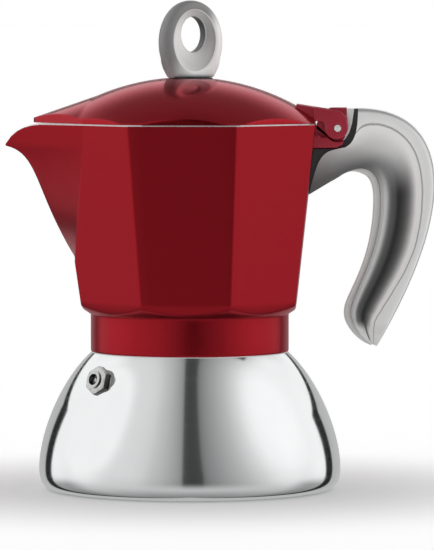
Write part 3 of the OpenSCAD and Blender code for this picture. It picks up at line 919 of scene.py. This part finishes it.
def ray_reach(outline, angle):
    """Distance from the eye's centre to a closed outline in a direction."""
    dx, dz = math.cos(angle), math.sin(angle)
    best = 30.0
    for (ax, az), (bx, bz) in zip(outline, outline[1:] + outline[:1]):
        ex, ez = bx - ax, bz - az
        det = dx * ez - dz * ex
        if abs(det) < 1e-9:
            continue
        t = (ax * ez - (az - EYE_Z) * ex) / det
        s = (ax * dz - (az - EYE_Z) * dx) / det
        if t > 0 and -1e-6 <= s <= 1 + 1e-6:
            best = min(best, t)
    return best


def ellipse_reach(angle, rx, rz, cz):
    """Distance from the eye's centre to an ellipse centred cz above it."""
    dx, dz = math.cos(angle), math.sin(angle)
    a = (dx / rx) ** 2 + (dz / rz) ** 2
    b = -2 * dz * cz / rz ** 2
    c = (cz / rz) ** 2 - 1
    return (-b + math.sqrt(b * b - 4 * a * c)) / (2 * a)


def build_knob():
    low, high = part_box("lid_knob")
    top, bottom = high.z / MM, low.z / MM
    half_thick, shoulder = 3.2, 2.9
    side = joined(
        cubic([(9.0, bottom), (12.2, 157), (13.8, 161), (13.8, 165.4)], 30),
        cubic([(13.8, 165.4), (13.8, 174), (8, top), (0, top)], 40),
    )
    outline = [(0.0, bottom)] + side + [(-u, z) for u, z in side[::-1][1:]]
    turns = 180
    rings, painted_tones = [], []
    for k in range(turns):
        angle = 2 * math.pi * k / turns
        hole = ellipse_reach(angle, 5.6, 6.6, 0.1)
        dish = ellipse_reach(angle, 9.4, 11.3, -2.2)
        end = ray_reach(outline, angle)
        power = 2.3 + 2.5 * smooth(0.55, 0.8, -math.sin(angle))
        bore = [(hole, 0), (hole, 1.5), (hole + 0.06, 1.8), (hole + 0.22, 1.95)]
        front = [
            (hole + 0.45, 2.05), (hole + 0.7 * (dish - hole), 2.45),
            (dish - 0.25, 2.62), (dish - 0.05, 2.75), (dish + 0.12, shoulder),
        ]
        band = []
        for i in range(1, 15):
            s = math.sin(math.pi / 2 * i / 14)
            rise = half_thick * (1 - s ** power) ** (1 / power) if s < 1 else 0
            start = shoulder + (half_thick - shoulder) * smooth(0, 0.3, s)
            band.append((dish + 0.12 + (end - dish - 0.12) * s, min(rise, start)))
        half = bore + front + band
        loop = half + [(r, -v) for r, v in half[::-1][1:-1]]
        rings.append([(r * math.cos(angle), v, EYE_Z + r * math.sin(angle)) for r, v in loop])
        # painted light and shade: a dark bore, a dish darker towards the right, a painted highlight on its
        # lip, and a band lighter towards the lower right
        lit = smooth(-0.2, 0.75, math.cos(angle + math.radians(40)))
        painted_shades = [0.08 + 0.12 * max(0.0, -math.sin(angle))] * 2 + [0.75] * 2
        painted_shades += [0.74 - 0.3 * math.cos(angle) - 0.05 * math.sin(angle)] * (len(front) - 1) + [1.1]
        painted_shades += [0.3 + 0.85 * lit] * len(band)
        painted_tones += painted_shades + painted_shades[::-1][1:-1]
    piece = Piece()
    piece.rings(rings + rings[:1])
    piece.painted_shades = painted_tones + painted_tones[:len(rings[0])]
    knob = finish_mesh("knob_ring", piece, [grip], 38)
    turn = Matrix.Rotation(KNOB_TURN, 4, "Z")
    knob.data.transform(Matrix.Translation((KNOB_X * MM, 0, 0)) @ turn)
    place(knob, "lid", "silver_plastic", "lid_knob")


# ---- Handle ----

# painted light and shade across the handle from its back to the seam, on the arm, down the grip and at the
# toe: a dark scoop down the grip and a dark slit at the toe
ARM_SHADE = [(0, 1), (0.32, 1.12), (0.45, 0.9), (0.58, 0.73), (0.7, 0.5), (0.8, 0.32), (0.9, 0.2), (1, 0.13)]
GRIP_SHADE = [
    (0, 1), (0.36, 1.03), (0.4, 0.72), (0.44, 0.44), (0.49, 0.2), (0.54, 0.1), (0.59, 0.055), (0.65, 0.035),
    (0.69, 0.035), (0.74, 0.09), (0.79, 0.1), (0.84, 0.19), (0.89, 0.64), (0.94, 0.7), (1, 0.55),
]
LEAF_SHADE = [(0, 0.95), (0.45, 0.95), (0.52, 0.7), (0.57, 0.12), (0.6, 0.12), (0.63, 0.95), (1, 0.9)]

# the seam between shell and strip: under the arm, down the grip and round the toe
SEAM_ARM = joined(
    [(44.1, 109.4), (54.9, 115.9)],
    cubic([(54.9, 115.9), (63.5, 121.5), (70.6, 120.5), (70.6, 107.2)], 40),
)
SEAM_GRIP = cubic([(70.6, 107.2), (70.6, 86.8), (59.5, 72), (59.6, 66)], 40)
SEAM_TOE = cubic([(59.6, 66), (59.7, 61.5), (63.5, 56.9), (66.6, 54.6)], 20)
ARM_ROWS, GRIP_ROWS, TOE_ROWS = 34, 40, 16


def handle_painted_shade(s, share):
    """The painted shade at s along the handle and at this share of the way from its back to the seam."""
    painted_tone = graph(ARM_SHADE, share)
    painted_tone += (graph(GRIP_SHADE, share) - painted_tone) * smooth(0.2, 0.38, s)
    leaf = graph(LEAF_SHADE, share)
    leaf += (0.92 - leaf) * smooth(0.96, 0.99, s)
    return painted_tone + (leaf - painted_tone) * smooth(0.86, 0.92, s)


def build_handle():
    back_top = cubic([(62.3, 141.2), (80.9, 141.2), (90.6, 130.9), (90.6, 113)], 60)
    back_low = cubic([(90.6, 113), (90.6, 93.8), (79.4, 70.7), (69.4, 53.5)], 60)
    mouth = joined(
        cubic([(62.3, 141.2), (62.3, 131), (60.5, 126.6), (54.5, 126.2)], 30),
        cubic([(54.5, 126.2), (47.5, 125.5), (47, 119.5), (44.1, 109.4)], 30),
    )
    ridge = joined(
        cubic([(60.5, 136.2), (80, 136.2), (85.8, 125.1), (85.8, 110)], 60),
        cubic([(85.8, 110), (85.8, 87.4), (78.1, 79.6), (65.8, 59.6)], 60),
    )
    first = [i / ARM_ROWS for i in range(ARM_ROWS + 1)]
    second = [i / GRIP_ROWS for i in range(1, GRIP_ROWS + 1)]
    third = [i / TOE_ROWS for i in range(1, TOE_ROWS + 1)]
    backs = along(back_top, first)
    backs += along(back_low, [0.79 * f for f in second])
    backs += along(back_low, [0.79 + 0.21 * f for f in third])
    seams = along(SEAM_ARM, [f ** 0.9 for f in first])
    seams += along(SEAM_GRIP, second)
    seams += along(SEAM_TOE, third)
    count = len(backs)
    rings, painted_tones = [], []
    last_ridge = 0.24
    for i, (o, q) in enumerate(zip(backs, seams)):
        s = i / (count - 1)
        near = None
        for j in range(8, 46):
            p = lerp(o, q, j / 100)
            gap = min(math.dist(p, g) for g in ridge)
            if near is None or gap < near[0]:
                near = (gap, j / 100)
        if near[0] < 0.5:
            last_ridge = 0.6 * last_ridge + 0.4 * near[1]
        ridge_t = min(0.5, max(0.16, last_ridge))
        bend = max(0.0, 1 - (i / ARM_ROWS) / 0.5) ** 2 if i < ARM_ROWS else 0.0
        half = 8.5 * (1 - 0.3 * smooth(0.93, 1.0, s))
        depth = 3.3 * smooth(0.10, 0.42, s) * (1 - smooth(0.84, 0.93, s)) + 0.5 * smooth(0.02, 0.1, s)
        end_t = 0.915
        profile = [
            (0, 0), (0, 0.3), (0.0, 0.58), (0.004, 0.78), (0.016, 0.89), (0.04, 0.965), (0.07, 0.995),
            (ridge_t * 0.6, 1.0), (ridge_t - 0.035, 0.995), (ridge_t - 0.012, 0.98), (ridge_t + 0.01, 0.955),
        ]
        rounding, groove = (3, 4), 9
        for j in range(1, 24):
            f = j / 24
            sink = math.sin(math.pi * f ** 1.25) ** 1.2
            profile.append((ridge_t + 0.01 + (end_t - ridge_t) * f, 0.95 - 0.03 * f - depth / half * sink))
        profile += [(end_t + 0.012, 0.915), (0.965, 0.905), (0.99, 0.88), (1.0, 0.83), (1.0, 0.5), (1.0, 0)]
        points, painted_shades = [], []
        for k, (t, y) in enumerate(profile):
            p = lerp(o, q, t)
            share = t * 0.27 / ridge_t if t < ridge_t else 0.27 + (t - ridge_t) * 0.73 / (1 - ridge_t)
            painted_tone = handle_painted_shade(s, share)
            # painted shade: dark lines on the back's rounded edge and in the groove, and darker rows at the
            # seam
            if k in rounding:
                painted_tone = 0.5
            if k == groove:
                painted_tone = 0.35
            if y in (0.83, 0.5):
                painted_tone *= 0.4
            painted_shades.append(painted_tone)
            if bend:
                target = along(mouth, [t])[0]
                straight = lerp(backs[0], seams[0], t)
                p = (p[0] + bend * (target[0] - straight[0]), p[1] + bend * (target[1] - straight[1]))
            points.append((p[0], -half * y, p[1]))
        rings.append(mirrored_ring(points))
        painted_tones += painted_shades + painted_shades[::-1][1:-1]
    piece = Piece()
    piece.rings(rings)
    piece.painted_shades = painted_tones
    piece.zip_cap(0, len(rings[0]))
    piece.zip_cap((count - 1) * len(rings[0]), len(rings[0]))
    shell = finish_mesh("handle_body", piece, [grip], 32)
    shell.visible_glossy = False
    place(shell, "collector", "silver_plastic", "handle_shell")


def build_handle_mouth():
    """The tongue in the mouth of the handle, and dark pieces beside it that paint the shadow in the mouth
    and along its edge.
    """
    piece = Piece()
    piece.prism(
        [(57.1, 129.4), (57.9, 130.4), (59.2, 132.5), (60.2, 136), (60.9, 141.0), (58.2, 141.1),
         (58.2, 133.4)],
        -6.15, 6.15,
    )
    piece.painted_shades = [0.95] * len(piece.points)
    tongue = finish_mesh("handle_tongue", piece, [grip])
    rounded(tongue, 0.3)
    place(tongue, "collector", "silver_plastic")

    # painted shadow: a dark piece in the mouth, beside the tongue
    piece = Piece()
    piece.prism(
        [(60.8, 141.05), (60.1, 136), (59.1, 132.5), (57.8, 130.4), (57, 129.3), (55.6, 127.1), (57.5, 127),
         (60.6, 129.2), (62.1, 132.8), (62.5, 136), (62.45, 141.05)],
        -6.1, 6.1,
    )
    # painted shadow: a thin dark strip along the mouth's lower edge
    piece.prism([(45.72, 126.2), (46.3, 126.2), (44.6, 109.8), (43.95, 109.9)], -6, 6)
    mouth_shadow = finish_mesh("handle_mouth_shadow", piece, [dark])
    add_bevel(mouth_shadow, 0.1)
    apply_modifiers(mouth_shadow)
    place(mouth_shadow, "collector", "dark_plastic")


def build_screw_head():
    """The cross-head screw, set into the slope under the arm."""
    slope = math.atan2(115.9 - 109.4, 54.9 - 44.1)
    cos, sin = math.cos(slope), math.sin(slope)

    def set_in(u, y, w):
        """A point of the arm's underside: u along it, y across it, w out of it."""
        return (54.2 + u * cos + w * sin, y, 115.5 + u * sin - w * cos)

    profile = [
        (0.02, 0.32), (1.2, 0.3), (2.2, 0.2), (2.45, 0.05), (2.4, -1.4), (1.5, -1.4), (1.5, -6), (0.02, -6),
    ]
    turns = [math.pi * k / 24 for k in range(48)]
    piece = Piece()
    rings = [[set_in(r * math.cos(a), r * math.sin(a), w) for a in turns] for r, w in profile]
    piece.rings(rings, caps=True)
    screw = finish_mesh("handle_screw_head", piece, [turned])
    corners = ((-1, -1), (1, -1), (1, 1), (-1, 1))
    for length, width in ((1.9, 0.4), (0.4, 1.9)):
        notch = Piece()
        notch.rings([[set_in(a * length, b * width, w) for a, b in corners] for w in (-0.7, 1.0)], caps=True)
        cut(screw, notch)
    sharpen(screw)
    place(screw, "collector", "steel", "handle_screw")


def build_grip_strip():
    """The strip that closes the grip, from under the arm to the toe."""
    inner = joined(
        cubic([(54.9, 114.7), (62.5, 119.4), (67.9, 118.5), (67.9, 108)], 40),
        cubic([(67.9, 108), (67.9, 82.8), (56.8, 72), (57.1, 65.9)], 40),
        cubic([(57.1, 65.9), (57.1, 60.9), (62.6, 55.1), (67.4, 53.6)], 30),
    )
    seam = joined(SEAM_ARM[1:], SEAM_GRIP, SEAM_TOE)
    rows, first = 90, 0.045
    fractions = [first + (1 - first) * i / rows for i in range(rows + 1)]
    rings = []
    for i, (o, q) in enumerate(zip(along(seam, fractions), along(inner, fractions))):
        s = i / rows
        q = lerp((o[0], o[1] - 0.15), q, smooth(0, 0.08, s))
        half = 6.0 * (1 - 0.35 * smooth(0.93, 1.0, s)) * (1 - 0.1 * smooth(0.05, 0.0, s))
        span = max(0.3, math.dist(o, q))
        profile = [
            (0.0, 0), (0.0, 0.7), (0.0, 1.0), (min(0.3, 0.5 / span), 1.0), (0.6, 1.0), (0.8, 0.97),
            (0.93, 0.9), (1.0, 0.78), (1.0, 0.4), (1.0, 0),
        ]
        rings.append(mirrored_ring([(lerp(o, q, t)[0], -half * y, lerp(o, q, t)[1]) for t, y in profile]))
    piece = Piece()
    piece.rings(rings)
    piece.painted_shades = [0.84] * len(piece.points)
    piece.zip_cap(0, len(rings[0]))
    piece.zip_cap(rows * len(rings[0]), len(rings[0]))
    strip = finish_mesh("grip_strip", piece, [grip], 40)
    strip.visible_glossy = False
    place(strip, "collector", "silver_plastic", "handle_cover")


build_bell()
build_spring()
build_collector()
build_thread()
build_bracket()
build_lid()
build_lid_hinge()
build_knob()
build_handle()
build_handle_mouth()
build_screw_head()
build_grip_strip()


# ---- Camera, floor and light ----

CAMERA_TURN = math.radians(2.1)
CAMERA_DISTANCE = 1904
CAMERA_HEIGHT = 180
AIM = (10.1, 0, 79.4)
VIEW_TALL = 203.8
STUDIO_WALL = [
    (-1.07, 1.0), (-1.0, 0.83), (-0.95, 0.775), (-0.87, 0.765), (-0.77, 0.745), (-0.66, 0.70),
    (-0.545, 0.60), (-0.42, 0.52), (-0.295, 0.42), (-0.215, 0.355), (-0.16, 0.30), (-0.14, 0.28),
    (-0.125, 0.065), (0.0, 0.055), (0.135, 0.065), (0.15, 0.17), (0.177, 0.20), (0.216, 0.235),
    (0.291, 0.285), (0.412, 0.355), (0.528, 0.43), (0.635, 0.51), (0.729, 0.62), (0.81, 0.73),
    (0.872, 0.85), (0.96, 1.0), (1.05, 1.06),
]
STUDIO_TABLE = [(0.0, 1.0), (0.35, 0.82), (0.65, 0.58), (0.9, 0.40), (1.0, 0.3)]
STUDIO_BACKDROP = [(0.0, 0.52), (0.74, 0.50), (0.765, 0.02), (1.0, 0.02)]
CEILING_DIM = 0.66


def build_stage():
    base_low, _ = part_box("boiler_base")
    s = 40.0
    floor_mesh = bpy.data.meshes.new("floor")
    floor_mesh.from_pydata([(-s, -s, 0), (s, -s, 0), (s, s, 0), (-s, s, 0)], [], [(0, 1, 2, 3)])
    floor_mesh.materials.append(floor_paint.material)
    floor = bpy.data.objects.new("floor", floor_mesh)
    floor.location.z = base_low.z - 0.0001
    floor.visible_glossy = False
    bpy.context.scene.collection.objects.link(floor)

    camera = bpy.data.cameras.new("camera")
    eye = bpy.data.objects.new("camera", camera)
    bpy.context.scene.collection.objects.link(eye)
    aim = Vector(AIM) * MM
    out = Vector((math.sin(CAMERA_TURN), -math.cos(CAMERA_TURN), 0))
    eye.location = out * CAMERA_DISTANCE * MM + Vector((0, 0, CAMERA_HEIGHT * MM))
    eye.rotation_mode = "QUATERNION"
    eye.rotation_quaternion = (aim - eye.location).to_track_quat("-Z", "Y")
    camera.sensor_fit = "VERTICAL"
    camera.sensor_height = 36
    camera.lens = 36 * (aim - eye.location).length / (VIEW_TALL * MM)
    camera.clip_start, camera.clip_end = 0.05, 50
    bpy.context.scene.camera = eye


def build_world():
    world = bpy.data.worlds.new("studio")
    bpy.context.scene.world = world
    world.use_nodes = True
    tree = world.node_tree
    back = tree.nodes["Background"]

    def math_node(operation, *values):
        node = tree.nodes.new("ShaderNodeMath")
        node.operation = operation
        for k, value in enumerate(values):
            if isinstance(value, (int, float)):
                node.inputs[k].default_value = value
            else:
                tree.links.new(value, node.inputs[k])
        return node.outputs[0]

    def step(*numbers):
        return map_range(tree, *numbers)

    def levels(value, stops):
        """Grey levels at these positions of a ramp."""
        node = tree.nodes.new("ShaderNodeValToRGB")
        tree.links.new(value, node.inputs[0])
        elements = node.color_ramp.elements
        elements.remove(elements[-1])
        for k, (position, level) in enumerate(stops):
            stop = elements[0] if k == 0 else elements.new(position)
            stop.position = position
            stop.color = (level, level, level, 1)
        return node.outputs["Color"]

    def mix(amount, first, second):
        return math_node(
            "ADD",
            math_node("MULTIPLY", first, math_node("SUBTRACT", 1.0, amount)),
            math_node("MULTIPLY", second, amount),
        )

    coords = tree.nodes.new("ShaderNodeTexCoord")
    split = tree.nodes.new("ShaderNodeSeparateXYZ")
    tree.links.new(coords.outputs["Generated"], split.inputs[0])
    x, y, z = (split.outputs[k] for k in range(3))
    side = math_node("ABSOLUTE", x)
    up = math_node("MAXIMUM", z, 0.0)
    down = math_node("MAXIMUM", math_node("MULTIPLY", z, -1.0), 0.0)
    # two big side boxes, with a dark gap between them where the camera stands
    centre = math_node("MULTIPLY_ADD", up, -0.05, 0.071)
    across = math_node(
        "DIVIDE", math_node("SUBTRACT", x, centre), math_node("MULTIPLY_ADD", up, -0.5, 1.0)
    )
    # a ramp runs from 0 to 1, so the stops and what reads them are scaled the same way
    wall_stops = [(0.5 + 0.45 * t, v) for t, v in STUDIO_WALL]
    wall = levels(math_node("MULTIPLY_ADD", across, 0.45, 0.5), wall_stops)
    wall = mix(step(down, 0.15, 0.6, 0.0, 1.0), wall, math_node("MAXIMUM", wall, 0.85))
    wall = mix(step(y, 0.1, 0.5, 0.0, 1.0), wall, 1.0)
    # the ceiling behind the pot is dimmer
    ceiling = math_node("MULTIPLY", step(y, 0.1, 0.4, 0.0, 1.0), step(z, 0.35, 0.7, 0.0, CEILING_DIM))
    ceiling = math_node("MULTIPLY", ceiling, step(side, 0.3, 0.6, 1.0, 0.0))
    wall = math_node("MULTIPLY", wall, math_node("SUBTRACT", 1.0, ceiling))
    # the table top, darker towards the pot's foot and in the shade behind it
    wall = math_node("MULTIPLY", wall, levels(down, STUDIO_TABLE))
    shade = math_node("MULTIPLY", step(down, 0.1, 0.35, 0.0, 0.55), step(y, -0.1, 0.4, 0.0, 1.0))
    wall = math_node("MULTIPLY", wall, math_node("SUBTRACT", 1.0, shade))
    # grey backdrop in a dark frame, low behind the pot
    bearing = math_node("DIVIDE", math_node("ARCTAN2", side, y), math.radians(49))
    rise = math_node("DIVIDE", z, 0.26)
    out = math_node("MAXIMUM", bearing, rise)
    wall = mix(step(out, 1.0, 1.05, 1.0, 0.0), wall, levels(out, STUDIO_BACKDROP))
    tree.links.new(wall, back.inputs["Color"])
    back.inputs["Strength"].default_value = 1.0
    # the plain white that the lens itself sees behind the pot
    white = tree.nodes.new("ShaderNodeBackground")
    white.inputs["Color"].default_value = (1, 1, 1, 1)
    path = tree.nodes.new("ShaderNodeLightPath")
    choose = tree.nodes.new("ShaderNodeMixShader")
    tree.links.new(path.outputs["Is Camera Ray"], choose.inputs[0])
    tree.links.new(back.outputs[0], choose.inputs[1])
    tree.links.new(white.outputs[0], choose.inputs[2])
    tree.links.new(choose.outputs[0], tree.nodes["World Output"].inputs["Surface"])


build_stage()
build_world()
bpy.context.scene.view_settings.view_transform = "Standard"
